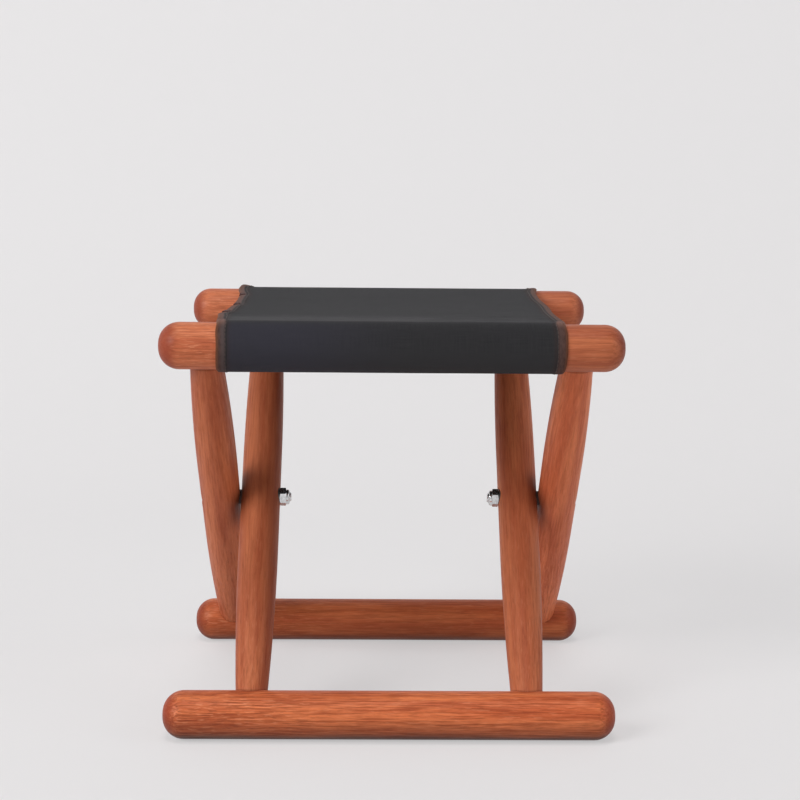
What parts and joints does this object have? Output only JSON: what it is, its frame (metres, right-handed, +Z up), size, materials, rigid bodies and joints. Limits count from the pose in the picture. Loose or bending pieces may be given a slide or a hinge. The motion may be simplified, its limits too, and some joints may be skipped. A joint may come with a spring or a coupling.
{
  "type": "folding stool",
  "caption": "Folding stool with two crossed wooden frames of turned legs and round rails, pivot bolts and a taut canvas seat with taped edges.",
  "frame": {"origin": "on the floor under the middle of the opened stool, at the bottom centre of its box", "axes": "+X along the rails to the right, +Y from the front seat rail to the rear seat rail, +Z up"},
  "size_m": [0.295, 0.2622, 0.2745],
  "materials": {
    "rail_wood": "oiled, satin",
    "leg_wood": "oiled, satin",
    "plated_steel": "bright zinc plated",
    "nylon": "matte",
    "fibre": "dull, hard pressed",
    "canvas": "tight plain weave",
    "edge_tape": "folded woven tape",
    "tack_steel": "dull plated"
  },
  "bodies": {
    "outer_frame": {"front_seat_rail": "rail_wood", "rear_floor_rail": "rail_wood", "outer_leg_left": "leg_wood", "outer_leg_right": "leg_wood", "pivot_bolt_left": "plated_steel", "pivot_bolt_right": "plated_steel", "lock_nut_left": "plated_steel", "lock_nut_right": "plated_steel", "lock_ring_left": "nylon", "lock_ring_right": "nylon", "nut_washer_left": "plated_steel", "nut_washer_right": "plated_steel", "leg_spacer_left": "fibre", "leg_spacer_right": "fibre", "canvas_front_wrap": "canvas", "tape_front_wrap": "edge_tape", "front_tacks": "tack_steel"},
    "inner_frame": {"rear_seat_rail": "rail_wood", "front_floor_rail": "rail_wood", "inner_leg_left": "leg_wood", "inner_leg_right": "leg_wood", "canvas_rear_wrap": "canvas", "tape_rear_wrap": "edge_tape", "rear_tacks": "tack_steel"},
    "front_seat_half": {"canvas_front_panel": "canvas", "tape_front_panel": "edge_tape"},
    "rear_seat_half": {"canvas_rear_panel": "canvas", "tape_rear_panel": "edge_tape"}
  },
  "joints": [
    {"name": "fold", "type": "hinge", "parent": "outer_frame", "child": "inner_frame", "pos_m": [0, 0, 0.13675], "axis": [1, 0, 0], "range_deg": [0, 74.5], "deforming": ["canvas_front_panel", "canvas_rear_panel", "tape_front_panel", "tape_rear_panel"]},
    {"name": "front_seat_drop", "type": "hinge", "parent": "outer_frame", "child": "front_seat_half", "pos_m": [0, -0.1143, 0.25775], "axis": [1, 0, 0], "range_deg": [-52.5, 0]},
    {"name": "rear_seat_drop", "type": "hinge", "parent": "inner_frame", "child": "rear_seat_half", "pos_m": [0, 0.1143, 0.25775], "axis": [1, 0, 0], "range_deg": [0, 52.5]}
  ],
  "couplings": [
    {"joint": "front_seat_drop", "follows": "fold", "ratio": -0.7},
    {"joint": "rear_seat_drop", "follows": "fold", "ratio": 0.7}
  ]
}
